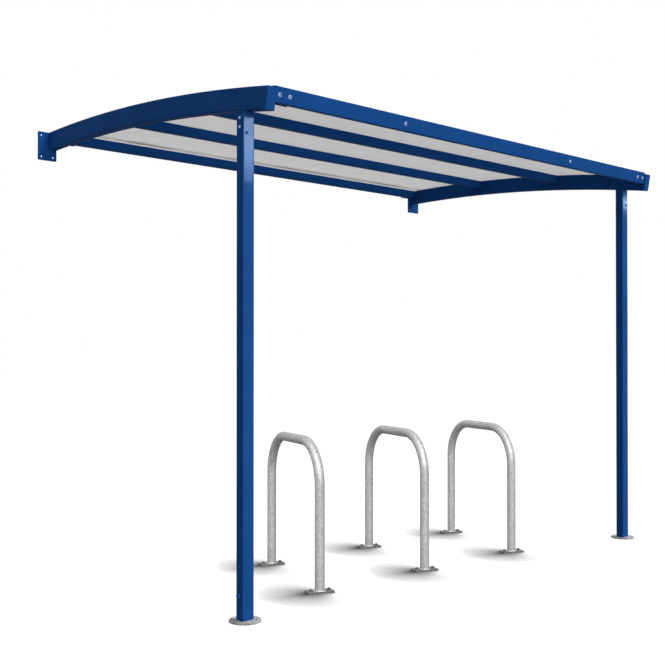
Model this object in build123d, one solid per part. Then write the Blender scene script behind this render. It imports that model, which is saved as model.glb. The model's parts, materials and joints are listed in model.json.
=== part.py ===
from build123d import *
import os
from math import asin, sin, cos, sqrt

# Wall-side bicycle shelter: two front posts carry two curved side arches, whose rear ends are
# plates bolted to a wall. A front beam and three purlins join the arches and hold one opal sheet,
# and three bent-tube hoops stand under it. Millimetres. The origin is under the left post, on the
# ground: +X runs to the right along the front, +Y to the wall and +Z up.

# Overall sizes
overall_width = 3000.0        # over the outer faces of the arches
post_to_wall = 1840.0         # post centre line to the face of the wall
front_overhang = 180.0        # front end of the arches, ahead of the post centre line
clear_height = 2190.0         # ground to the underside of the arch, over the post

# Side arches, a rectangular tube bent to one radius
arch_width = 50.0
arch_height = 100.0
arch_wall = 3.0
arch_corner = 6.0
arch_radius = 10900.0         # of the tube's centre line
crown_to_wall = 215.0         # highest point of the arch to the wall
front_cap_thickness = 7.0
front_cap_round = 4.0         # round its front face

# Front posts
post_width = 60.0             # along the front
post_depth = 50.0
post_wall = 3.0
post_corner = 5.0
seat_gap = 0.3                # between a curved face and what stands against it

# Sockets inside the posts, welded under the arch and on the base flange
socket_clearance = 0.5        # to the post's front and rear walls
socket_side_step = 0.5        # its sides to the arch's sides
socket_wall = 3.0
socket_corner = 2.5
socket_length = 110.0
socket_weld_depth = 1.0
post_bolt_hole = 9.0
post_bolt_drops = (31.0, 70.0)    # below the underside of the arch, in the outer face
locking_hole = 9.0                # in the post's front face
locking_hole_drop = 97.0
locking_hole_side = 12.0          # from the post's centre, to the outside

# Base flanges
flange_diameter = 140.0
flange_thickness = 8.0
flange_pcd = 110.0
flange_holes = 4
flange_hole = 12.0
foot_bolt_height = 113.0      # above the ground

# Wall plates
plate_width = 110.0
plate_height = 160.0
plate_thickness = 8.0
plate_corner = 4.0
plate_hole = 11.0
plate_hole_inset = 20.0

# Front beam, square to the end of the arches
beam_height = 70.0
beam_depth = 40.0
beam_wall = 3.0
beam_corner = 5.0
beam_rise = 8.0               # its top above the top of the arches
beam_setback = 8.0            # its face behind the front of the caps
beam_bolt_hole = 11.0
beam_middle_bolt = 665.0      # single bolts each side of the middle
ledge_width = 25.0            # strip behind the beam, under the sheet's front edge
ledge_thickness = 3.0

# Purlins
purlin_height = 50.0
purlin_depth = 50.0
purlin_wall = 3.0
purlin_corner = 5.0
rear_purlin_to_wall = 80.0    # front face of the rear purlin to the wall
purlin_bolt_hole = 7.0

# Cleats, welded to the inner faces of the arches behind the beam and purlins
cleat_length = 100.0
cleat_thickness = 6.0
cleat_top_drop = 12.0         # below the top of the arch
cleat_overhang = 3.0          # below the beam or purlin
bolt_from_arch = 25.0         # first bolt of each pair, from the arch's inner face
bolt_pitch = 55.0
end_gap = 2.0                 # beam, purlin and sheet ends to the arch

# Roof sheet
sheet_thickness = 6.0
sheet_drop = 8.0              # its underside below the top of the arch
sheet_front_gap = 2.0
sheet_to_wall = 15.0

# Hoops
hoop_tube = 48.3
hoop_wall = 3.2
hoop_height = 740.0
hoop_length = 700.0           # between the leg centre lines
hoop_bend = 210.0             # radius of the tube's centre line
hoop_pitch = 740.0
hoop_row_offset = -40.0       # middle hoop from the middle of the shelter
hoop_row_depth = 510.0        # post centre line to the middle of the hoops
hoop_turn = 19.0              # degrees, rear legs to the right
drain_hole = 8.0              # on the outside of the front bend
drain_angle = 45.0            # degrees up the bend
foot_length = 135.0           # across the hoop
foot_width = 65.0
foot_thickness = 8.0
foot_corner = 4.0
foot_hole = 14.0
foot_hole_pitch = 95.0

# Worked out from the sizes above
post_pitch = overall_width - arch_width
clear_width = overall_width - 2 * arch_width
middle_x = post_pitch / 2
crown_y = post_to_wall - crown_to_wall
top_radius = arch_radius + arch_height / 2
bottom_radius = arch_radius - arch_height / 2
circle_z = clear_height - sqrt(bottom_radius**2 - crown_y**2)
plate_face_y = post_to_wall - plate_thickness
socket_width = arch_width - 2 * socket_side_step
socket_depth = post_depth - 2 * (post_wall + socket_clearance)
sheet_underside = top_radius - sheet_drop
rear_purlin_y = post_to_wall - rear_purlin_to_wall
purlin_step = (rear_purlin_y + front_overhang) / 3
arch_top_at_wall = circle_z + sqrt(top_radius**2 - (plate_face_y - crown_y) ** 2)


def arch_angle(y):
    """Angle from the crown, about the arch's centre, of the centre line's point at this Y."""
    return asin((y - crown_y) / arch_radius)


def arch_plane(y):
    """Plane on top of the arch: its Y runs along the arch to the wall, its Z is square to it."""
    angle = arch_angle(y)
    origin = (0, crown_y + top_radius * sin(angle), circle_z + top_radius * cos(angle))
    return Plane(origin=origin, x_dir=(1, 0, 0), z_dir=(0, sin(angle), cos(angle)))


def arc_band(inner_radius, outer_radius, start, end, width):
    """Slice of a ring about the arch's centre, between two angles, extruded to each side of X = 0."""

    def point(radius, angle):
        return (crown_y + radius * sin(angle), circle_z + radius * cos(angle))

    middle = (start + end) / 2
    outer = ThreePointArc(point(outer_radius, start), point(outer_radius, middle), point(outer_radius, end))
    inner = ThreePointArc(point(inner_radius, start), point(inner_radius, middle), point(inner_radius, end))
    outline = outer + inner + Line(outer @ 0, inner @ 0) + Line(outer @ 1, inner @ 1)
    return extrude(Plane.YZ * make_face(outline), width / 2, both=True)


def rounded_band(inner_radius, outer_radius, start, end, width, corner):
    """The same slice with its four long edges rounded."""
    band = arc_band(inner_radius, outer_radius, start, end, width)
    return fillet(band.edges().filter_by(GeomType.CIRCLE), corner)


def upright_tube(width, depth, wall, corner, bottom, top):
    """Rectangular tube standing on the Z axis."""
    inside = max(corner - wall, 0.5)
    outline = RectangleRounded(width, depth, corner)
    outline -= RectangleRounded(width - 2 * wall, depth - 2 * wall, inside)
    return Pos(0, 0, bottom) * extrude(outline, top - bottom)


def level_tube(length, depth, height, wall, corner):
    """Tube along X, from Y = 0 back to depth, hanging down from Z = 0."""
    outline = RectangleRounded(depth, height, corner)
    outline -= RectangleRounded(depth - 2 * wall, height - 2 * wall, corner - wall)
    return Pos(0, depth / 2, -height / 2) * extrude(Plane.YZ * outline, length / 2, both=True)


def hole_along_y(diameter, x, z, length):
    return Pos(x, 0, z) * Rot(90, 0, 0) * Cylinder(diameter / 2, length)


def outer_bolt_hole(z):
    """Hole for a bolt through the outer side of the left post and of the socket in it."""
    return Pos(-post_width / 2, 0, z) * Rot(0, 90, 0) * Cylinder(post_bolt_hole / 2, post_width)


def head_holes():
    """Holes at the top of the left post: two in its outer side, and one for the locking screw in front."""
    places = [outer_bolt_hole(clear_height - drop) for drop in post_bolt_drops]
    screw_hole = hole_along_y(locking_hole, -locking_hole_side, clear_height - locking_hole_drop, post_depth)
    return places + [Pos(0, -post_depth / 2, 0) * screw_hole]


def post():
    """Front post with its top cut to the arch, and holes for the two sockets' bolts."""
    top = clear_height + post_width
    body = upright_tube(post_width, post_depth, post_wall, post_corner, flange_thickness, top)
    reach = 2 * post_width / arch_radius
    over = arch_angle(0)
    body -= arc_band(bottom_radius - seat_gap, bottom_radius + 4 * post_width, over - reach, over + reach, 2 * post_width)
    for hole in head_holes():
        body -= hole
    return body - outer_bolt_hole(foot_bolt_height)


def base_flange():
    """Round flange with a socket that stands inside the post."""
    body = Pos(0, 0, flange_thickness / 2) * Cylinder(flange_diameter / 2, flange_thickness)
    body -= PolarLocations(flange_pcd / 2, flange_holes, start_angle=45) * Cylinder(flange_hole / 2, 4 * flange_thickness)
    bottom = flange_thickness - socket_weld_depth
    top = foot_bolt_height + socket_depth
    body += upright_tube(socket_width, socket_depth, socket_wall, socket_corner, bottom, top)
    return body - outer_bolt_hole(foot_bolt_height)


def arch():
    """Bent rectangular tube from the front cap to the wall plate, with the post's socket under it."""
    front = arch_plane(-front_overhang)
    start = arch_angle(-front_overhang - arch_height)
    end = arch_angle(post_to_wall + arch_height)
    body = rounded_band(bottom_radius, top_radius, start, end, arch_width, arch_corner)
    body -= rounded_band(
        bottom_radius + arch_wall,
        top_radius - arch_wall,
        start,
        end,
        arch_width - 2 * arch_wall,
        arch_corner - arch_wall,
    )
    waste = 4 * arch_height
    body -= front * Pos(0, front_cap_thickness - waste / 2, 0) * Box(waste, waste, waste)
    body -= Pos(0, plate_face_y + waste / 2, arch_top_at_wall) * Box(waste, waste, waste)
    bottom = clear_height - socket_length
    top = clear_height + post_width
    socket = upright_tube(socket_width, socket_depth, socket_wall, socket_corner, bottom, top)
    over = arch_angle(0)
    reach = 2 * post_width / arch_radius
    weld_radius = bottom_radius + socket_weld_depth
    socket -= arc_band(weld_radius, weld_radius + 4 * post_width, over - reach, over + reach, 2 * post_width)
    for hole in head_holes():
        socket -= hole
    return body + socket


def front_cap():
    """Cap that closes the front end of the arch, as large as the tube, its front edges rounded."""
    outline = Pos(0, -arch_height / 2, 0) * RectangleRounded(arch_width, arch_height, arch_corner)
    upright = Plane(origin=(0, front_cap_thickness, 0), x_dir=(1, 0, 0), z_dir=(0, -1, 0))
    body = extrude(upright * outline, front_cap_thickness)
    front_edges = body.faces().sort_by(Axis.Y)[0].edges()
    return arch_plane(-front_overhang) * fillet(front_edges, front_cap_round)


def wall_plate():
    """Plate at the rear end of the left arch, flush with its inner face, with three anchor holes."""
    centre_x = arch_width / 2 - plate_width / 2
    centre_z = arch_top_at_wall - plate_height / 2
    outline = RectangleRounded(plate_width, plate_height, plate_corner)
    side = plate_width / 2 - plate_hole_inset
    rise = plate_height / 2 - plate_hole_inset
    for x, z in ((-side, rise), (-side, -rise), (side, -rise)):
        outline -= Pos(x, z) * Circle(plate_hole / 2)
    face = Plane(origin=(centre_x, post_to_wall, centre_z), x_dir=(1, 0, 0), z_dir=(0, -1, 0))
    return face * extrude(outline, plate_thickness)


def bolt_places(length):
    """X of the bolt pairs at both ends, from the middle of a beam or purlin of the clear width."""
    first = clear_width / 2 - bolt_from_arch
    return [side * x for side in (-1, 1) for x in (first, first - bolt_pitch) if x < length / 2]


def front_beam():
    """Tube across the front ends of the arches, with a ledge behind it for the sheet."""
    length = clear_width - 2 * end_gap
    body = level_tube(length, beam_depth, beam_height, beam_wall, beam_corner)
    bolt_x = bolt_places(length) + [-beam_middle_bolt, beam_middle_bolt]
    for x in bolt_x:
        body -= hole_along_y(beam_bolt_hole, x, -beam_height / 2, 3 * beam_depth)
    ledge_length = length - 2 * cleat_length
    ledge_y = beam_depth - beam_wall / 2
    ledge_z = -beam_rise - sheet_drop - seat_gap - ledge_thickness / 2
    reach = ledge_width + beam_wall / 2
    body += Pos(0, ledge_y + reach / 2, ledge_z) * Box(ledge_length, reach, ledge_thickness)
    return arch_plane(-front_overhang) * Pos(middle_x, beam_setback, beam_rise) * body


def purlin(y):
    """Tube under the sheet, its front face square to the arch at this Y."""
    length = clear_width - 2 * end_gap
    body = level_tube(length, purlin_depth, purlin_height, purlin_wall, purlin_corner)
    for x in bolt_places(length):
        body -= hole_along_y(purlin_bolt_hole, x, -purlin_height / 2, 3 * purlin_depth)
    return arch_plane(y) * Pos(middle_x, 0, -sheet_drop - seat_gap) * body


def cleat_pair(y, back, top, height, hole):
    """Two flat cleats on the arches' inner faces, behind a member's back and bolted through it."""
    cleat_height = height + top + cleat_overhang - cleat_top_drop
    bolt_drop = top + height / 2
    pair = []
    for side in (-1, 1):
        x = side * (clear_width - cleat_length) / 2
        z = -cleat_top_drop - cleat_height / 2
        cleat = Pos(x, back + cleat_thickness / 2, z) * Box(cleat_length, cleat_thickness, cleat_height)
        for bolt_x in (bolt_from_arch, bolt_from_arch + bolt_pitch):
            cleat -= hole_along_y(hole, side * (clear_width / 2 - bolt_x), -bolt_drop, 6 * beam_depth)
        pair.append(arch_plane(y) * Pos(middle_x, 0, 0) * cleat)
    return Compound(pair)


def roof_sheet():
    """One curved sheet between the arches, on the ledge and the purlins."""
    behind_beam = beam_setback + beam_depth + sheet_front_gap
    start = arch_angle(-front_overhang) + behind_beam / arch_radius
    end = arch_angle(post_to_wall - sheet_to_wall)
    width = clear_width - 2 * end_gap
    band = arc_band(sheet_underside, sheet_underside + sheet_thickness, start, end, width)
    return Pos(middle_x, 0, 0) * band


def hoop_tube_solid():
    """Bent tube in its own XZ plane, its legs on top of the foot plates."""
    half = hoop_length / 2
    top = hoop_height - hoop_tube / 2
    route = FilletPolyline(
        (-half, 0, foot_thickness), (-half, 0, top), (half, 0, top), (half, 0, foot_thickness), radius=hoop_bend
    )
    section = Plane(origin=(-half, 0, foot_thickness), z_dir=(0, 0, 1)) * Circle(hoop_tube / 2)
    bore = Plane(origin=(-half, 0, foot_thickness), z_dir=(0, 0, 1)) * Circle(hoop_tube / 2 - hoop_wall)
    body = sweep(section, route) - sweep(bore, route)
    bend_centre = Pos(hoop_bend - half, 0, top - hoop_bend) * Rot(0, drain_angle - 90, 0)
    return body - bend_centre * Pos(0, 0, hoop_bend + hoop_tube / 2) * Cylinder(drain_hole / 2, hoop_tube)


def hoop_foot():
    """Plate under one leg, long side across the hoop, with a hole on each side of the leg."""
    outline = RectangleRounded(foot_width, foot_length, foot_corner)
    for side in (-1, 1):
        outline -= Pos(0, side * foot_hole_pitch / 2) * Circle(foot_hole / 2)
    return extrude(outline, foot_thickness)


def to_right(shape):
    """Mirror image of a left-hand piece, at the right-hand post."""
    return Pos(post_pitch, 0, 0) * mirror(shape, Plane.YZ)


pieces = {}
for piece_name, make in (
    ("post", post),
    ("base_flange", base_flange),
    ("arch", arch),
    ("front_cap", front_cap),
    ("wall_plate", wall_plate),
):
    left_piece = make()
    pieces["left_" + piece_name] = left_piece
    pieces["right_" + piece_name] = to_right(left_piece)

pieces["front_beam"] = front_beam()
pieces["front_beam_cleats"] = cleat_pair(
    -front_overhang, beam_setback + beam_depth, -beam_rise, beam_height, beam_bolt_hole
)
for number, row in enumerate(("front", "middle", "rear"), start=1):
    row_y = -front_overhang + number * purlin_step
    pieces[row + "_purlin"] = purlin(row_y)
    pieces[row + "_purlin_cleats"] = cleat_pair(
        row_y, purlin_depth, sheet_drop + seat_gap, purlin_height, purlin_bolt_hole
    )
pieces["roof_sheet"] = roof_sheet()

hoop_shape = hoop_tube_solid()
foot_shape = hoop_foot()
for column, hoop_name in enumerate(("left_hoop", "middle_hoop", "right_hoop")):
    hoop_x = middle_x + hoop_row_offset + (column - 1) * hoop_pitch
    place = Pos(hoop_x, hoop_row_depth, 0) * Rot(0, 0, 90 - hoop_turn)
    pieces[hoop_name] = place * hoop_shape
    pieces[hoop_name + "_front_foot"] = place * Pos(-hoop_length / 2, 0, 0) * foot_shape
    pieces[hoop_name + "_rear_foot"] = place * Pos(hoop_length / 2, 0, 0) * foot_shape

os.makedirs("parts", exist_ok=True)
for node, shape in pieces.items():
    export_step(shape, "parts/" + node + ".step")
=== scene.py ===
import json
from math import cos, pi, radians, sin

import bpy
import numpy as np
from mathutils import Matrix, Vector


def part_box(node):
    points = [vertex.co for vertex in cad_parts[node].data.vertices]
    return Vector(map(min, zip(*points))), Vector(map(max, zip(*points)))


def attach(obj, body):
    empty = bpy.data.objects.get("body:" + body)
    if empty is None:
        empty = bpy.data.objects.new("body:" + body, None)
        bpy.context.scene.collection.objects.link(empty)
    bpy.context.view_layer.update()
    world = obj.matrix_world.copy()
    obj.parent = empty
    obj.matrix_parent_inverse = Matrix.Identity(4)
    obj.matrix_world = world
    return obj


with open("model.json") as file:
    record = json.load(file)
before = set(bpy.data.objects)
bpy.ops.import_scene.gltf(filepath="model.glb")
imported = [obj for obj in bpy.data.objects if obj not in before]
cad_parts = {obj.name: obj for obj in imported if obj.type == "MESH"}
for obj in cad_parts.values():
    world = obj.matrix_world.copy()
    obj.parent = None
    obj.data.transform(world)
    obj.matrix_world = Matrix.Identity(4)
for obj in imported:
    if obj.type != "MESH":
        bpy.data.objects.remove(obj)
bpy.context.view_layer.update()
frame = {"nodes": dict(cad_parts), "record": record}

# Metres throughout, in the shelter's own frame: +X right along the front, +Y to the wall, +Z up.
MM = 0.001
NODES = frame["nodes"]
MOUNTS = {mount["name"]: mount for mount in frame["record"]["mounts"]}

X_AXIS = np.array([1.0, 0.0, 0.0])
Y_AXIS = np.array([0.0, 1.0, 0.0])
Z_AXIS = np.array([0.0, 0.0, 1.0])

# The darker line on the sheet, ahead of the rear purlin, and the reach that its ramp covers.
DARK_LINE_START, DARK_LINE_STOP, SHEET_REACH = 1.630, 1.737, 2.0

# ---------------------------------------------------------------- materials


def new_material(name):
    """Empty node material, with its Principled shader."""
    material = bpy.data.materials.new(name)
    material.use_nodes = True
    return material, material.node_tree, material.node_tree.nodes["Principled BSDF"]


def add(tree, kind, **values):
    """Shader node of one kind, with its properties and the values of its named inputs."""
    node = tree.nodes.new("ShaderNode" + kind)
    for key, value in values.items():
        if hasattr(node, key):
            setattr(node, key, value)
        else:
            node.inputs[key.replace("_", " ")].default_value = value
    return node


def object_noise(tree, scale, detail=3.0, stretch=(1, 1, 1)):
    """Noise on Object coordinates, stretched by a Mapping node."""
    place = add(tree, "TexCoord")
    mapping = add(tree, "Mapping")
    mapping.inputs["Scale"].default_value = stretch
    noise = add(tree, "TexNoise", Scale=scale, Detail=detail)
    tree.links.new(place.outputs["Object"], mapping.inputs["Vector"])
    tree.links.new(mapping.outputs["Vector"], noise.inputs["Vector"])
    return noise


def between(tree, factor, low, high):
    """Value from low to high as a pattern's value goes from 0.3 to 0.7, where noise mostly lies."""
    ramp = add(tree, "MapRange")
    ramp.inputs["From Min"].default_value = 0.3
    ramp.inputs["From Max"].default_value = 0.7
    ramp.inputs["To Min"].default_value = low
    ramp.inputs["To Max"].default_value = high
    tree.links.new(factor, ramp.inputs["Value"])
    return ramp.outputs["Result"]


def two_tones(tree, factor, dark, light, low=0.3, high=0.7):
    """Colour from dark to light as a pattern's value goes from low to high."""
    ramp = add(tree, "ValToRGB")
    ramp.color_ramp.elements[0].position = low
    ramp.color_ramp.elements[0].color = (*dark, 1)
    ramp.color_ramp.elements[1].position = high
    ramp.color_ramp.elements[1].color = (*light, 1)
    tree.links.new(factor, ramp.inputs["Fac"])
    return ramp.outputs["Color"]


def bump(tree, shader, height, strength, distance):
    """Bump on the shader's normal, from a pattern's value."""
    node = add(tree, "Bump", Strength=strength, Distance=distance)
    tree.links.new(height, node.inputs["Height"])
    tree.links.new(node.outputs["Normal"], shader.inputs["Normal"])


def blue_coat(name, specular, gloss):
    """Polyester coat: faint clouding, the fine orange peel of baked powder, and a share of gloss."""
    material, tree, shader = new_material(name)
    clouds = object_noise(tree, 5.0)
    colour = two_tones(tree, clouds.outputs["Fac"], (0.0066, 0.064, 0.250), (0.0076, 0.073, 0.280))
    tree.links.new(colour, shader.inputs["Base Color"])
    shader.inputs["Specular IOR Level"].default_value = specular
    shader.inputs["Roughness"].default_value = 0.85
    shader.inputs["Coat Weight"].default_value = gloss
    shader.inputs["Coat Roughness"].default_value = 0.08
    peel = object_noise(tree, 420.0, 1.0)
    bump(tree, shader, peel.outputs["Fac"], 0.05, 0.0006)
    return material


def galvanised(name, dark, light, metallic=0.1, edge=1.0):
    """Dull hot-dip zinc: grains of slightly different grey, under a fine speckle.

    The edge is how bright the metallic share stays where it is seen at a grazing angle.
    """
    material, tree, shader = new_material(name)
    place = add(tree, "TexCoord")
    grains = add(tree, "TexVoronoi", Scale=210.0)
    tree.links.new(place.outputs["Object"], grains.inputs["Vector"])
    grain_value = add(tree, "SeparateColor")
    tree.links.new(grains.outputs["Color"], grain_value.inputs["Color"])
    speckle = object_noise(tree, 420.0, 4.0)
    mix = add(tree, "Mix", data_type="FLOAT")
    mix.inputs["Factor"].default_value = 0.7
    tree.links.new(grain_value.outputs["Red"], mix.inputs["A"])
    tree.links.new(speckle.outputs["Fac"], mix.inputs["B"])
    colour = two_tones(tree, mix.outputs["Result"], dark, light, 0.32, 0.66)
    tree.links.new(colour, shader.inputs["Base Color"])
    shader.inputs["Metallic"].default_value = metallic
    shader.inputs["Specular Tint"].default_value = (edge, edge, edge, 1)
    shader.inputs["Specular IOR Level"].default_value = 0.06
    tree.links.new(between(tree, mix.outputs["Result"], 0.54, 0.64), shader.inputs["Roughness"])
    bump(tree, shader, speckle.outputs["Fac"], 0.10, 0.0008)
    return material


def zinc_plate():
    """Bright zinc on bolts, washers and nuts, with faint handling marks."""
    material, tree, shader = new_material("zinc_plate")
    marks = object_noise(tree, 700.0, 2.0)
    colour = two_tones(tree, marks.outputs["Fac"], (0.26, 0.35, 0.52), (0.40, 0.51, 0.72))
    tree.links.new(colour, shader.inputs["Base Color"])
    shader.inputs["Metallic"].default_value = 0.9
    tree.links.new(between(tree, marks.outputs["Fac"], 0.24, 0.34), shader.inputs["Roughness"])
    return material


def opal_sheet():
    """Opal polycarbonate: light spreads through it, rain has left streaks, and it turns darker and
    browner along a line.

    Ahead of the rear purlin the darkening rises over 69 mm, stays darkest for 26 mm and ends in 12 mm.
    """
    material, tree, shader = new_material("opal_sheet")
    streaks = object_noise(tree, 2.0, 4.0, (3.2, 0.7, 1))
    mottle = object_noise(tree, 16.0, 5.0, (1, 0.35, 1))
    mix = add(tree, "Mix", data_type="FLOAT")
    mix.inputs["Factor"].default_value = 0.5
    tree.links.new(streaks.outputs["Fac"], mix.inputs["A"])
    tree.links.new(mottle.outputs["Fac"], mix.inputs["B"])
    clean = two_tones(tree, mix.outputs["Result"], (0.90, 0.89, 0.89), (1.0, 0.99, 0.99), 0.38, 0.62)
    place = add(tree, "TexCoord")
    apart = add(tree, "SeparateXYZ")
    tree.links.new(place.outputs["Object"], apart.inputs["Vector"])
    near_purlin = add(tree, "ValToRGB")
    stops = near_purlin.color_ramp.elements
    stops[0].position, stops[0].color = DARK_LINE_START / SHEET_REACH, (0, 0, 0, 1)
    stops[1].position, stops[1].color = DARK_LINE_STOP / SHEET_REACH, (0, 0, 0, 1)
    darkest = (DARK_LINE_STOP - 0.038, DARK_LINE_STOP - 0.012)
    for position, value in ((DARK_LINE_START + 0.040, 0.20), (darkest[0], 1.0), (darkest[1], 1.0)):
        stops.new(position / SHEET_REACH).color = (value, value, value, 1)
    reach = add(tree, "Math", operation="DIVIDE")
    reach.inputs[1].default_value = SHEET_REACH
    tree.links.new(apart.outputs["Y"], reach.inputs[0])
    tree.links.new(reach.outputs[0], near_purlin.inputs["Fac"])
    patches = object_noise(tree, 3.0, 3.0, (1, 0.2, 1))
    amount = add(tree, "Math", operation="MULTIPLY")
    tree.links.new(near_purlin.outputs["Color"], amount.inputs[0])
    tree.links.new(between(tree, patches.outputs["Fac"], 0.45, 0.95), amount.inputs[1])
    # A brownish dark colour mixed into the sheet along a line ahead of the rear purlin.
    darkened = add(tree, "Mix", data_type="RGBA")
    darkened.inputs["B"].default_value = (0.20, 0.18, 0.14, 1)
    tree.links.new(amount.outputs[0], darkened.inputs["Factor"])
    tree.links.new(clean, darkened.inputs["A"])
    tree.links.new(darkened.outputs["Result"], shader.inputs["Base Color"])
    shader.inputs["Subsurface Weight"].default_value = 1.0
    shader.inputs["Subsurface Radius"].default_value = (1.0, 1.0, 1.0)
    shader.inputs["Subsurface Scale"].default_value = 0.03
    shader.inputs["Specular IOR Level"].default_value = 0.1
    rub = object_noise(tree, 30.0)
    tree.links.new(between(tree, rub.outputs["Fac"], 0.62, 0.70), shader.inputs["Roughness"])
    ripple = object_noise(tree, 9.0, 2.0)
    bump(tree, shader, ripple.outputs["Fac"], 0.05, 0.002)
    return material


def dark_steel(name, dark, light):
    """Dark, nearly glossless material: rubber seals, the nearly black anchors, and the painted shade at
    the floor of bolt sockets.
    """
    material, tree, shader = new_material(name)
    grain = object_noise(tree, 600.0, 3.0)
    tree.links.new(two_tones(tree, grain.outputs["Fac"], dark, light), shader.inputs["Base Color"])
    shader.inputs["Specular IOR Level"].default_value = 0.08
    tree.links.new(between(tree, grain.outputs["Fac"], 0.5, 0.65), shader.inputs["Roughness"])
    return material


def weld_metal():
    """Bright sprayed zinc over a weld."""
    material, tree, shader = new_material("weld_metal")
    scale = object_noise(tree, 500.0, 3.0)
    colour = two_tones(tree, scale.outputs["Fac"], (0.32, 0.32, 0.32), (0.50, 0.50, 0.50))
    tree.links.new(colour, shader.inputs["Base Color"])
    shader.inputs["Metallic"].default_value = 0.6
    shader.inputs["Roughness"].default_value = 0.42
    bump(tree, shader, scale.outputs["Fac"], 0.2, 0.001)
    return material


BLUE = blue_coat("blue_powder_coat", 0.05, 0.015)
MATT_BLUE = blue_coat("matt_blue_coat", 0.0, 0.0)
GALVANISED = galvanised("galvanised_steel", (0.26, 0.257, 0.261), (0.49, 0.484, 0.492), 0.6, 0.1)
# The foot plates' zinc is written far darker than the hoops' to paint the shade on them.
SHADED_FOOT_ZINC = galvanised("dull_foot_plate", (0.075, 0.073, 0.074), (0.17, 0.167, 0.168))
FLANGE_GALVANISED = galvanised("spangled_flange", (0.10, 0.098, 0.10), (0.68, 0.675, 0.68))
ZINC = zinc_plate()
OPAL = opal_sheet()
# DARK is the rubber of the sheet screws' seals, and it also paints the shade at the floor of the beam
# bolts' sockets.
DARK = dark_steel("blue_black_steel", (0.003, 0.010, 0.035), (0.006, 0.018, 0.055))
# The ground anchors are written nearly black.
ANCHOR = dark_steel("weathered_anchor", (0.05, 0.05, 0.052), (0.14, 0.14, 0.145))
WELD = weld_metal()

FINISHES = {"blue_powder_coat": BLUE, "galvanised_steel": GALVANISED, "opal_sheet": OPAL}
PLATE_FINISHES = {"foot": SHADED_FOOT_ZINC, "flange": FLANGE_GALVANISED}
for subpart in frame["record"]["subparts"]:
    node = NODES[subpart["node"]]
    node.data.materials.clear()
    last_word = subpart["node"].rsplit("_", 1)[-1]
    node.data.materials.append(PLATE_FINISHES.get(last_word, FINISHES[subpart["material_slot"]]))

# ---------------------------------------------------------------- shapes

# Edges sharper than this stay sharp.
SHARP_EDGE = radians(35)
# A weld bead's ripple as a share of its radius, the length of one ripple, and the share of the
# radius that is left at both ends of an open bead.
RIPPLE, RIPPLE_LENGTH, BEAD_END = 0.12, 0.004, 0.02
# Of a dome head's diameter: its washer's radius and thickness. The circle where the dome gives way
# to a socket, as a share of the socket's width. The socket's floor, as a share of the whole height.
WASHER_RADIUS, WASHER_THICKNESS, SOCKET_RIM, SOCKET_FLOOR = 0.62, 0.08, 1.25, 0.45


def turned(profile, sides=36, hexed=()):
    """Points and faces of a solid of revolution about Z.

    A point is (r cos a, r sin a, h), for (h, r) along the profile and a round the axis. Where the
    row's number is in hexed, r is divided by cos of the angle from the middle of the nearest flat,
    which makes a hexagon. The profile starts and ends on the axis, and each end is a fan.
    """
    height, radius = np.array(profile, float).T
    angle = np.arange(sides) * 2 * pi / sides
    half = pi / 6
    swell = 1 / np.cos((angle + half) % (2 * half) - half)
    six_sided = np.isin(np.arange(len(height)), hexed)[:, None]
    rings = (radius[:, None] * np.where(six_sided, swell, 1.0))[1:-1]
    x = rings * np.cos(angle)
    y = rings * np.sin(angle)
    z = np.broadcast_to(height[1:-1, None], rings.shape)
    body = np.stack([x, y, z], -1).reshape(-1, 3)
    points = np.vstack([body, [[0, 0, height[0]], [0, 0, height[-1]]]])
    count = len(height) - 2
    around = np.arange(sides)
    after = (around + 1) % sides
    start = (np.arange(count - 1) * sides)[:, None]
    quads = np.stack([start + around, start + after, start + sides + after, start + sides + around], -1)
    bottom = np.stack([after, around, np.full(sides, len(body))], -1)
    last = (count - 1) * sides
    top = np.stack([last + around, last + after, np.full(sides, len(body) + 1)], -1)
    return points, [*quads.reshape(-1, 4).tolist(), *bottom.tolist(), *top.tolist()]


def facing(place, axis, spin=0.0):
    """4 x 4 matrix that stands a turned shape at a place, with its Z along the axis."""
    turn = Vector(axis).normalized().to_track_quat("Z", "Y").to_matrix().to_4x4()
    return np.array(Matrix.Translation(Vector(place)) @ turn @ Matrix.Rotation(spin, 4, "Z"))


def copies(shape, places):
    """One shape's points and faces repeated at each matrix, by one product over all of them."""
    points, faces = shape
    places = np.array(places)
    flat = np.hstack([points, np.ones((len(points), 1))])
    moved = np.einsum("kij,vj->kvi", places, flat)[..., :3].reshape(-1, 3)
    step = len(points)
    repeated = [[corner + step * k for corner in face] for k in range(len(places)) for face in faces]
    return moved, repeated


def joined(*shapes):
    """Several shapes as one list of points and one list of faces."""
    points, faces, offset = [], [], 0
    for shape_points, shape_faces in shapes:
        points.append(shape_points)
        faces += [[corner + offset for corner in face] for face in shape_faces]
        offset += len(shape_points)
    return np.vstack(points), faces


def piece(name, shape, material):
    """Mesh object at the origin that rides on the frame, smooth except over sharp edges."""
    points, faces = shape
    mesh = bpy.data.meshes.new(name)
    mesh.from_pydata(points.tolist(), [], faces)
    mesh.validate()
    mesh.shade_smooth()
    mesh.set_sharp_from_angle(angle=SHARP_EDGE)
    mesh.materials.append(material)
    made = bpy.data.objects.new(name, mesh)
    bpy.context.scene.collection.objects.link(made)
    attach(made, "root")


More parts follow.
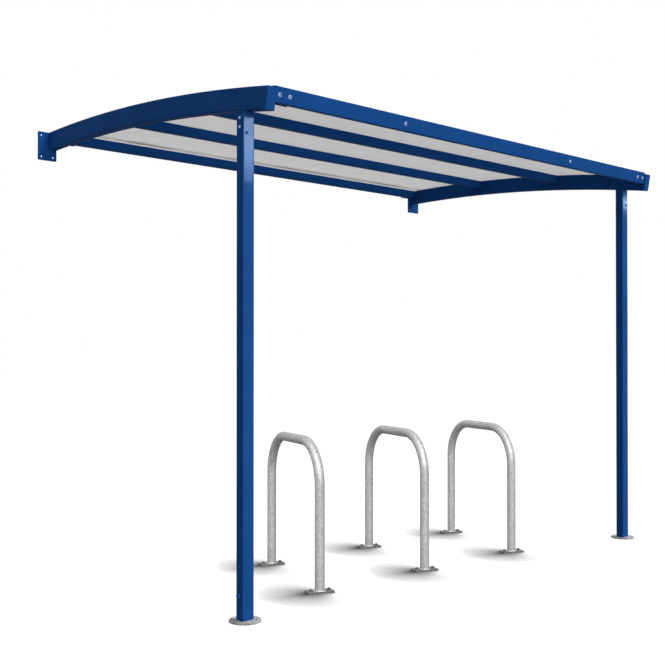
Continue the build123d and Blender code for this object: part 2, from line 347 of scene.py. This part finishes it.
def bead(path, side, up, radius, closed=True):
    """Weld bead: a round section carried along a path.

    A point is path(u) + r(u) (cos v side(u) + sin v up(u)). The radius r swells as a cosine of the
    length run, once every ripple, and falls to nearly nothing at both ends of an open path.
    """
    path = np.array(path, float)
    side = np.broadcast_to(side, path.shape)
    up = np.broadcast_to(up, path.shape)
    following = np.roll(path, -1, 0) if closed else np.vstack([path[1:], path[-1:]])
    run = np.concatenate([[0], np.cumsum(np.linalg.norm(following - path, axis=1))])[: len(path)]
    size = radius * (1 + RIPPLE * np.cos(2 * pi * run / RIPPLE_LENGTH))
    if not closed:
        ends = np.minimum(run, run[-1] - run)
        size = size * np.sqrt(np.clip(ends / radius, BEAD_END**2, 1))
    around = 10
    v = np.arange(around) * 2 * pi / around
    ring = np.cos(v)[None, :, None] * side[:, None, :] + np.sin(v)[None, :, None] * up[:, None, :]
    points = (path[:, None, :] + size[:, None, None] * ring).reshape(-1, 3)
    count = len(path)
    rows = np.arange(count if closed else count - 1)
    nexts = (rows + 1) % count
    columns = np.arange(around)
    beside = (columns + 1) % around
    a = rows[:, None] * around + columns
    b = rows[:, None] * around + beside
    c = nexts[:, None] * around + beside
    d = nexts[:, None] * around + columns
    faces = np.stack([a, b, c, d], -1).reshape(-1, 4).tolist()
    if not closed:
        faces.append(columns[::-1].tolist())
        faces.append((columns + (count - 1) * around).tolist())
    return points, faces


def socket_floor(diameter, rise):
    """Height of a socket's floor over the foot of its dome head."""
    return SOCKET_FLOOR * (WASHER_THICKNESS * diameter + rise)


def dome_head(diameter, rise, socket=0.0):
    """Round dome head on a thin washer, with a hexagon socket where one is given.

    The dome is part of an ellipse from its rim towards its top. The socket has straight walls and a
    shallow cone for its floor.
    """
    rim = WASHER_RADIUS * diameter
    thick = WASHER_THICKNESS * diameter
    last = np.arccos(SOCKET_RIM * socket / diameter) if socket else pi / 2
    dome = [(thick + rise * sin(a), diameter / 2 * cos(a)) for a in np.linspace(0, last, 8)]
    base = [(0, 0), (0, rim), (0.8 * thick, rim), (thick, rim - thick / 2)]
    if not socket:
        return turned([*base, *dome[:-1], (thick + rise, 0)])
    floor = socket_floor(diameter, rise)
    rows = [*base, *dome, (dome[-1][0] - 0.0002, socket / 2), (floor, socket / 2), (floor - 0.0004, 0)]
    return turned(rows, hexed=(len(rows) - 3, len(rows) - 2))


def hex_nut(across, height):
    """Hexagon with its corners cut back by a shallow cone at both ends."""
    half = across / 2
    cut = 0.08 * across
    ends = [(0, half - cut / 2), (cut / 2, half), (height - cut / 2, half), (height, half - cut / 2)]
    return turned([(0, 0), *ends, (height, 0)], sides=48, hexed=range(1, 5))


def washer(diameter, thickness):
    """Flat disc with its upper edge bevelled."""
    edge = thickness / 4
    rim = diameter / 2
    return turned([(0, 0), (0, rim), (thickness - edge, rim), (thickness, rim - edge), (thickness, 0)])


def stud_end(diameter, start, end):
    """Threaded end: its radius goes in and out once a thread."""
    pitch = 1.5 * MM
    count = int((end - start) / pitch * 2)
    heights = np.linspace(start, end, count + 1)
    radii = diameter / 2 * np.where(np.arange(count + 1) % 2, 1.0, 0.88)
    return turned([(start, 0), *zip(heights, radii), (end, 0)], sides=20)


# ---------------------------------------------------------------- places taken from the frame


def middle(node):
    """Middle of a node's box."""
    low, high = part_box(node)
    return (low + high) / 2


# The posts and the arches over them, which are equal left and right.
ARCH_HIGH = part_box("left_arch")[1]
POST_LOW, POST_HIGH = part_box("left_post")
RIGHT_POST_X = middle("right_post").x
MIDDLE_X = RIGHT_POST_X / 2
ARCH_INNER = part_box("left_wall_plate")[1].x
CLEAR_WIDTH = RIGHT_POST_X - 2 * ARCH_INNER
ARCH_FRONT_Y = -0.180
ARCH_UNDERSIDE = 2.190
PLATE_FACE_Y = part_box("left_wall_plate")[0].y
WALL_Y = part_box("left_wall_plate")[1].y

# The circle of the arches' centre line, and that of their top.
ARCH_DEPTH = 0.100
CENTRE_RADIUS = 10.900
TOP_RADIUS = CENTRE_RADIUS + ARCH_DEPTH / 2
CROWN_Y = WALL_Y - 0.215
CIRCLE_Z = ARCH_HIGH.z - TOP_RADIUS

# Where the purlins stand, and the cleats: their thickness, where they begin below the arches' top,
# and where the beam's and the purlins' end.
PURLIN_STEP = (WALL_Y - 0.080 - ARCH_FRONT_Y) / 3
PURLINS = {row: ARCH_FRONT_Y + k * PURLIN_STEP for k, row in enumerate(("front", "middle", "rear"), 1)}
CLEAT_THICKNESS, CLEAT_START, BEAM_CLEAT_END, PURLIN_CLEAT_END = 0.006, 0.014, 0.065, 0.0613


def ring_frame(y):
    """Top of the arch at a place, the direction along it to the wall, and the one square to it.

    The place is where the arch's centre line is at this Y.
    """
    angle = np.arcsin((y - CROWN_Y) / CENTRE_RADIUS)
    square = np.array([0.0, sin(angle), cos(angle)])
    along = np.array([0.0, cos(angle), -sin(angle)])
    return np.array([0.0, CROWN_Y, CIRCLE_Z]) + TOP_RADIUS * square, along, square


# ---------------------------------------------------------------- bolts

# How far the bolt pairs of the beam and the purlins lie from the arches' inner faces.
BOLT_INSETS = (0.025, 0.080)
# The face of a member and the back of its cleats, behind its place along the arch, and its bolts,
# below the arch's top.
BEAM_OFFSETS, PURLIN_OFFSETS = (0.008, 0.054, 0.027), (0.0, 0.056, 0.0333)
# The beam's two bolts between the pairs.
BEAM_SINGLES = (MIDDLE_X - 0.665, MIDDLE_X + 0.665)
# Dome heads: their diameter, their rise and the width of their socket.
BEAM_HEADS, PURLIN_HEADS = (0.0152, 0.0055, 0.0076), (0.0095, 0.0035, 0.0)
BRIGHT, PAINTED = (ZINC, "galvanised_steel"), (BLUE, "blue_powder_coat")


def member_bolts(name, y, offsets, head_sizes, finish, singles=()):
    """Dome heads on the face of a beam or purlin, and nuts on the back of its cleats.

    A single bolt has no cleat behind the member. Each nut is turned 8 degrees more than the last.
    """
    front, back, drop = offsets
    diameter, rise, socket = head_sizes
    material, slot = finish
    top, along, square = ring_frame(y)
    pairs = [MIDDLE_X + side * (CLEAR_WIDTH / 2 - inset) for side in (-1, 1) for inset in BOLT_INSETS]
    heads, nuts = [], []
    for x in [*pairs, *singles]:
        face = top + front * along - drop * square + x * X_AXIS
        heads.append(facing(face, -along))
        behind = back - CLEAT_THICKNESS if x in singles else back
        nuts.append(facing(face + (behind - front) * along, along, radians(8 * len(nuts))))
    piece(name + "_bolts", copies(dome_head(*head_sizes), heads), material)
    # A dark disc at the floor of each socket paints the shade deep inside it.
    if socket:
        low, rim = socket_floor(diameter, rise), 0.49 * socket
        lid = low + 0.0012
        socket_shade_disc = turned([(low, 0), (low, rim), (lid, rim), (lid, 0)])
        piece(name + "_sockets", copies(socket_shade_disc, heads), DARK)
    piece(name + "_nuts", copies(hex_nut(0.95 * diameter, 0.42 * diameter), nuts), material)


member_bolts("front_beam", ARCH_FRONT_Y, BEAM_OFFSETS, BEAM_HEADS, BRIGHT, BEAM_SINGLES)
for row, place in PURLINS.items():
    member_bolts(row + "_purlin", place, PURLIN_OFFSETS, PURLIN_HEADS, PAINTED)

# On a post: its bolts and its locking screw below the arch's underside, the cap of its foot's bolt
# over the ground, and how far the screw lies outward of the post's centre line.
POST_BOLT_DROPS, LOCK_SCREW_DROP, FOOT_CAP_Z, LOCK_SCREW_ASIDE = (0.031, 0.070), 0.097, 0.113, 0.012


def post_fixings(side, x, outward):
    """Dome heads high on the post's outer face, a cap low on it, and the locking screw in front."""
    out = outward * X_AXIS
    face = x * X_AXIS + POST_HIGH.x * out
    heads = [facing(face + (ARCH_UNDERSIDE - drop) * Z_AXIS, out) for drop in POST_BOLT_DROPS]
    piece(side + "_post_bolts", copies(dome_head(0.0105, 0.004), heads), ZINC)
    shoulder = [(0.008, 0.0105), (0.0115, 0.0088), (0.0138, 0.0050)]
    cap = turned([(0, 0), (0, 0.0105), *shoulder, (0.0145, 0)])
    low_place = [facing(face + FOOT_CAP_Z * Z_AXIS, out)]
    piece(side + "_foot_bolt_cap", copies(cap, low_place), BLUE)
    rim = [(-0.004, 0.0080), (0.0010, 0.0080), (0.0020, 0.0070)]
    screw = turned([(-0.004, 0), *rim, (0.0002, 0.0055), (0.0002, 0)])
    screw_at = (x + outward * LOCK_SCREW_ASIDE, POST_LOW.y, ARCH_UNDERSIDE - LOCK_SCREW_DROP)
    screw_place = [facing(screw_at, -Y_AXIS)]
    piece(side + "_locking_screw", copies(screw, screw_place), MATT_BLUE)


post_fixings("left", 0.0, -1)
post_fixings("right", RIGHT_POST_X, 1)


def anchors(name, places, base_z, across, washer_size):
    """Ground anchors: washer, hexagon nut and the end of the stud, each turned a little differently."""
    turns = [radians(17 + 23 * k) for k in range(len(places))]
    lifts = [facing((x, y, base_z), Z_AXIS, turn) for (x, y), turn in zip(places, turns)]
    thick, height, shown = 0.002, 0.45 * across, 0.003
    nut_points, nut_faces = hex_nut(across, height)
    nut = (nut_points + [0, 0, thick], nut_faces)
    disc = washer(washer_size, thick)
    stud = stud_end(0.55 * across, 0.003, thick + height + shown)
    piece(name, copies(joined(disc, nut, stud), lifts), ANCHOR)


def circle_places(mount, start):
    """Hole places of a bolt circle, from its mount, with the first hole at the start angle."""
    centre = mount["pos_m"]
    radius = mount["dims"]["pcd_mm"] * MM / 2
    count = mount["dims"]["count"]
    angles = [start + 2 * pi * k / count for k in range(count)]
    return [(centre[0] + radius * cos(a), centre[1] + radius * sin(a)) for a in angles]


FLANGE_TOP = 0.008
LOW_HEAD = dome_head(0.015, 0.003)
for side in ("left", "right"):
    spots = circle_places(MOUNTS[side + "_foot_bolts"], pi / 4)
    low_heads = [facing((x, y, FLANGE_TOP), Z_AXIS) for x, y in spots]
    piece(side + "_flange_anchors", copies(LOW_HEAD, low_heads), GALVANISED)

HOOPS = ("left_hoop", "middle_hoop", "right_hoop")
ANCHOR_NUT, ANCHOR_WASHER = 0.015, 0.020
for hoop in HOOPS:
    front, rear = (np.array(MOUNTS[f"{hoop}_{end}_bolts"]["pos_m"]) for end in ("front", "rear"))
    heading = np.arctan2(*(rear - front)[:2])
    for end in ("front", "rear"):
        foot_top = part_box(f"{hoop}_{end}_foot")[1].z
        spots = circle_places(MOUNTS[f"{hoop}_{end}_bolts"], -heading)
        anchors(f"{hoop}_{end}_anchors", spots, foot_top, ANCHOR_NUT, ANCHOR_WASHER)

# ---------------------------------------------------------------- welds

# The circle that a bead follows round a leg of 24.15 mm radius.
HOOP_BEAD_PATH = 0.0252


def hoop_welds():
    """A rippled bead round the bottom of each leg, 0.5 mm over its foot plate."""
    u = np.arange(96) * 2 * pi / 96
    outward = np.stack([np.cos(u), np.sin(u), 0 * u], -1)
    beads = []
    for hoop in HOOPS:
        for end in ("front", "rear"):
            centre = np.array(MOUNTS[f"{hoop}_{end}_bolts"]["pos_m"])
            centre[2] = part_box(f"{hoop}_{end}_foot")[1].z + 0.0005
            beads.append(bead(centre + HOOP_BEAD_PATH * outward, outward, Z_AXIS, 0.004))
    piece("hoop_welds", joined(*beads), WELD)


def straight(start, end, side, up, radius):
    """Bead along a straight line between two points, with a ring of the mesh each millimetre."""
    count = max(int(np.linalg.norm(np.subtract(end, start)) / MM), 8)
    t = np.linspace(0, 1, count)[:, None]
    path = np.array(start) * (1 - t) + np.array(end) * t
    return bead(path, np.array(side), np.array(up), radius, closed=False)


def cleat_welds():
    """Beads on the cleats' back, down the arches' inner faces to 2 mm over the cleats' lower edges."""
    beads = []
    members = [(ARCH_FRONT_Y, BEAM_OFFSETS[1], BEAM_CLEAT_END)]
    members += [(y, PURLIN_OFFSETS[1], PURLIN_CLEAT_END) for y in PURLINS.values()]
    for y, back, low in members:
        top, along, square = ring_frame(y)
        for x, inward in ((ARCH_INNER, 1), (RIGHT_POST_X - ARCH_INNER, -1)):
            foot = top + back * along + x * X_AXIS
            start = foot - CLEAT_START * square
            end = foot - (low - 0.002) * square
            beads.append(straight(start, end, inward * X_AXIS, along, 0.0032))
    piece("cleat_welds", joined(*beads), BLUE)


def plate_welds():
    """Beads down the arches' outer faces and along their undersides, at the wall plates."""
    beads = []
    top, along, square = ring_frame(PLATE_FACE_Y)
    low = top - ARCH_DEPTH * square
    for x, out in ((-ARCH_INNER, -1), (RIGHT_POST_X + ARCH_INNER, 1)):
        outer = x * X_AXIS
        inner = (x - out * 2 * ARCH_INNER) * X_AXIS
        inset = out * 0.006 * X_AXIS
        down = 0.006 * Z_AXIS
        beads.append(straight(top + outer - down, low + outer + down, out * X_AXIS, -Y_AXIS, 0.0038))
        beads.append(straight(low + outer - inset, low + inner + inset, -Z_AXIS, -Y_AXIS, 0.0038))
    piece("wall_plate_welds", joined(*beads), BLUE)


hoop_welds()
cleat_welds()
plate_welds()

# ---------------------------------------------------------------- sheet screws

# The sheet's top below the arches' top, the screws of one row, what they leave free at both ends
# together, and the thickness of their seals.
SHEET_DROP, ROW_SCREWS, ROW_ENDS, SEAL = 0.002, 8, 0.24, 0.003
# How far the screws lie behind the places of the beam and of the purlins.
LEDGE_SCREWS, PURLIN_SCREWS = 0.060, 0.025


def sheet_screws():
    """Rows of low screw heads on rubber washers, over the ledge and the purlins."""
    rows = [(ARCH_FRONT_Y, LEDGE_SCREWS)] + [(y, PURLIN_SCREWS) for y in PURLINS.values()]
    xs = MIDDLE_X + np.linspace(-0.5, 0.5, ROW_SCREWS) * (CLEAR_WIDTH - ROW_ENDS)
    places = []
    for y, behind in rows:
        top, along, square = ring_frame(y)
        for x in xs:
            places.append(facing(top + behind * along - SHEET_DROP * square + x * X_AXIS, square))
    head_points, head_faces = dome_head(0.011, 0.0035)
    lifted = (head_points + [0, 0, SEAL], head_faces)
    piece("sheet_screws", copies(lifted, places), ZINC)
    seal = turned([(0, 0), (0, 0.009), (0.002, 0.009), (SEAL, 0.008), (SEAL, 0)])
    piece("sheet_screw_seals", copies(seal, places), DARK)


sheet_screws()

# ---------------------------------------------------------------- studio

# The floor: half its size and its own glow.
FLOOR_HALF, FLOOR_GLOW = 60, 0.86
# The floor's shadows: the reach over which it looks for what hides the light, the power of what is
# left open, the X where the floor by the hoops ends, short of the right post, and how far inside
# both of its ends the shadows start and are whole.
SHADOW_REACH, SHADOW_POWER = 0.29, 14.0
HOOP_FLOOR_END, SHADOW_START, SHADOW_WHOLE = RIGHT_POST_X - 0.42, 0.02, 0.12
# Cards of bright sky: their width and their Y, in front of the posts.
CARD_WIDTH, CARD_Y = 1.0, -3.4


def seen_directly(tree):
    """1 for camera, glossy and transmission rays, which see the white surroundings."""
    rays = add(tree, "LightPath")
    first = add(tree, "Math", operation="MAXIMUM")
    second = add(tree, "Math", operation="MAXIMUM")
    tree.links.new(rays.outputs["Is Camera Ray"], first.inputs[0])
    tree.links.new(rays.outputs["Is Glossy Ray"], first.inputs[1])
    tree.links.new(first.outputs[0], second.inputs[0])
    tree.links.new(rays.outputs["Is Transmission Ray"], second.inputs[1])
    return second.outputs[0]


def white_surroundings():
    """World that is white to look at and gives the object an even, moderate light."""
    world = bpy.data.worlds.new("studio")
    bpy.context.scene.world = world
    world.use_nodes = True
    tree = world.node_tree
    background = tree.nodes["Background"]
    strength = add(tree, "MapRange")
    strength.inputs["To Min"].default_value = 0.51
    strength.inputs["To Max"].default_value = 1.0
    tree.links.new(seen_directly(tree), strength.inputs["Value"])
    tree.links.new(strength.outputs["Result"], background.inputs["Strength"])
    background.inputs["Color"].default_value = (1, 1, 1, 1)


def pale_floor():
    """Floor that keeps soft shadows. It is whiter to look at than the light that it throws back.

    By the hoops it also darkens by the share of the view towards the floor's light that is hidden
    within the reach, with what is left open raised to the power.
    """
    mesh = bpy.data.meshes.new("floor")
    signs = ((-1, -1), (1, -1), (1, 1), (-1, 1))
    corners = [(FLOOR_HALF * x, FLOOR_HALF * y, 0) for x, y in signs]
    mesh.from_pydata(corners, [], [(0, 1, 2, 3)])
    floor = bpy.data.objects.new("floor", mesh)
    bpy.context.scene.collection.objects.link(floor)
    material, tree, _ = new_material("pale_floor")
    tree.nodes.clear()
    output = add(tree, "OutputMaterial")
    thrown = add(tree, "BsdfDiffuse", Color=(0.09, 0.09, 0.09, 1))
    looked_at = add(tree, "BsdfDiffuse", Color=(0.24, 0.24, 0.24, 1))
    glow = add(tree, "Emission")
    place = add(tree, "TexCoord")
    apart = add(tree, "SeparateXYZ")
    tree.links.new(place.outputs["Object"], apart.inputs["Vector"])
    half = HOOP_FLOOR_END / 2
    from_middle = add(tree, "Math", operation="SUBTRACT")
    from_middle.inputs[1].default_value = half
    aside = add(tree, "Math", operation="ABSOLUTE")
    by_hoops = add(tree, "MapRange")
    by_hoops.inputs["From Min"].default_value = half - SHADOW_START
    by_hoops.inputs["From Max"].default_value = half - SHADOW_WHOLE
    by_hoops.inputs["To Max"].default_value = SHADOW_POWER
    tree.links.new(apart.outputs["X"], from_middle.inputs[0])
    tree.links.new(from_middle.outputs[0], aside.inputs[0])
    tree.links.new(aside.outputs[0], by_hoops.inputs["Value"])
    to_light = add(tree, "CombineXYZ", X=0.926, Y=-0.160, Z=0.342)
    open_sky = add(tree, "AmbientOcclusion", samples=32, Distance=SHADOW_REACH)
    tree.links.new(to_light.outputs["Vector"], open_sky.inputs["Normal"])
    deeper = add(tree, "Math", operation="POWER")
    amount = add(tree, "Math", operation="MULTIPLY")
    amount.inputs[1].default_value = FLOOR_GLOW
    tree.links.new(open_sky.outputs["AO"], deeper.inputs[0])
    tree.links.new(by_hoops.outputs["Result"], deeper.inputs[1])
    tree.links.new(deeper.outputs[0], amount.inputs[0])
    tree.links.new(amount.outputs[0], glow.inputs["Strength"])
    bright = add(tree, "AddShader")
    choose = add(tree, "MixShader")
    tree.links.new(looked_at.outputs[0], bright.inputs[0])
    tree.links.new(glow.outputs[0], bright.inputs[1])
    tree.links.new(seen_directly(tree), choose.inputs["Fac"])
    tree.links.new(thrown.outputs[0], choose.inputs[1])
    tree.links.new(bright.outputs[0], choose.inputs[2])
    tree.links.new(choose.outputs[0], output.inputs["Surface"])
    mesh.materials.append(material)
    return floor


def sun(name, strength, spread, heading, height):
    """Soft sun: the heading is the ground direction it comes from, the height its angle above that."""
    lamp = bpy.data.lights.new(name, "SUN")
    lamp.energy = strength
    lamp.angle = radians(spread)
    made = bpy.data.objects.new(name, lamp)
    rise = radians(height)
    from_where = Vector((*heading, 0)).normalized() * cos(rise) + Vector((0, 0, sin(rise)))
    made.rotation_euler = from_where.to_track_quat("Z", "Y").to_euler()
    bpy.context.scene.collection.objects.link(made)
    return made


def linked(name, objects, state="INCLUDE"):
    """Collection for light linking, that includes or excludes these objects."""
    group = bpy.data.collections.new(name)
    for each in objects:
        group.objects.link(each)
    for entry in group.collection_objects:
        entry.light_linking.link_state = state
    return group


def pieces_named(word):
    """The scene's meshes with this word in their name."""
    return [each for each in bpy.context.scene.objects if each.type == "MESH" and word in each.name]


def object_lights(floor):
    """Lights on the object, none of which the floor gets.

    The frame has a key and a low fill from the front, the hoops a key and a light from above, the
    flanges a key from the right, in which the posts shade their left, and the sheet a fill from
    below. The fills come up through the floor. The roof doesn't shade the hoops from above.
    """
    hoops = pieces_named("hoop")
    flanges = pieces_named("flange")
    key = sun("key", 1.55, 25, (0.35, -0.94), 40)
    key.light_linking.receiver_collection = linked("painted", [floor, *hoops, *flanges], "EXCLUDE")
    fill = sun("fill", 0.98, 30, (-0.10, -0.995), -8)
    fill.light_linking.receiver_collection = linked("all_but_hoops", [floor, *hoops], "EXCLUDE")
    all_but_the_floor = linked("all_but_the_floor", [floor], "EXCLUDE")
    fill.light_linking.blocker_collection = all_but_the_floor
    all_hoops = linked("hoops", hoops)
    hoop_key = sun("hoop_key", 4.2, 16, (-0.48, -0.877), 41)
    hoop_key.light_linking.receiver_collection = all_hoops
    hoop_top = sun("hoop_top", 1.9, 30, (-0.98, -0.20), 70)
    hoop_top.light_linking.receiver_collection = all_hoops
    hoop_top.light_linking.blocker_collection = all_hoops
    flange_key = sun("flange_key", 3.2, 8, (0.985, -0.17), 40)
    flange_key.light_linking.receiver_collection = linked("flanges", flanges)
    sheet_fill = sun("sheet_fill", 0.98, 60, (0.0, -1.0), -75)
    sheet_fill.light_linking.receiver_collection = linked("sheet", [NODES["roof_sheet"]])
    sheet_fill.light_linking.blocker_collection = all_but_the_floor


def floor_light(floor):
    """Light on the floor alone, from the right, in which only the hoops cast their soft shadows."""
    low = sun("floor_key", 2.5, 20, (0.985, -0.17), 45)
    low.light_linking.receiver_collection = linked("floor_alone", [floor])
    low.light_linking.blocker_collection = linked("hoops_as_blockers", pieces_named("hoop"))


def sky_card(name, post, x, low, high, radiance):
    """Card of bright sky that only shows as a reflection, high on the front face of one post.

    The lamp's power is pi times its area times the radiance. The arches don't shade the post from it.
    """
    lamp = bpy.data.lights.new(name, "AREA")
    lamp.shape = "RECTANGLE"
    lamp.size = CARD_WIDTH
    lamp.size_y = high - low
    lamp.energy = pi * lamp.size * lamp.size_y * radiance
    lamp.color = (0.42, 0.62, 1.0)
    card = bpy.data.objects.new(name, lamp)
    card.location = (x, CARD_Y, (low + high) / 2)
    card.rotation_euler = (radians(90), 0, 0)
    card.visible_camera = False
    card.visible_diffuse = False
    card.light_linking.receiver_collection = linked(name + "_post", [NODES[post]])
    arches = linked(name + "_arches", [NODES["left_arch"], NODES["right_arch"]], "EXCLUDE")
    card.light_linking.blocker_collection = arches
    bpy.context.scene.collection.objects.link(card)


def camera():
    """Standing at the front left, a little above the hoops, with a normal lens."""
    lens = bpy.data.cameras.new("camera")
    lens.sensor_width = 36.0
    lens.lens = 53.1
    lens.shift_y = 0.0269
    eye = bpy.data.objects.new("camera", lens)
    eye.location = (-2.5305, -3.392, 1.1261)
    eye.rotation_euler = (radians(90 + 0.478), 0, radians(-41.81))
    bpy.context.scene.collection.objects.link(eye)
    bpy.context.scene.camera = eye


white_surroundings()
FLOOR = pale_floor()
object_lights(FLOOR)
floor_light(FLOOR)
sky_card("near_sky_card", "left_post", 2.54, 2.80, 3.23, 600)
sky_card("near_sky_edge", "left_post", 2.54, 2.66, 2.80, 290)
sky_card("far_sky_card", "right_post", 8.91, 3.03, 3.16, 1000)
camera()
bpy.context.scene.view_settings.view_transform = "Standard"
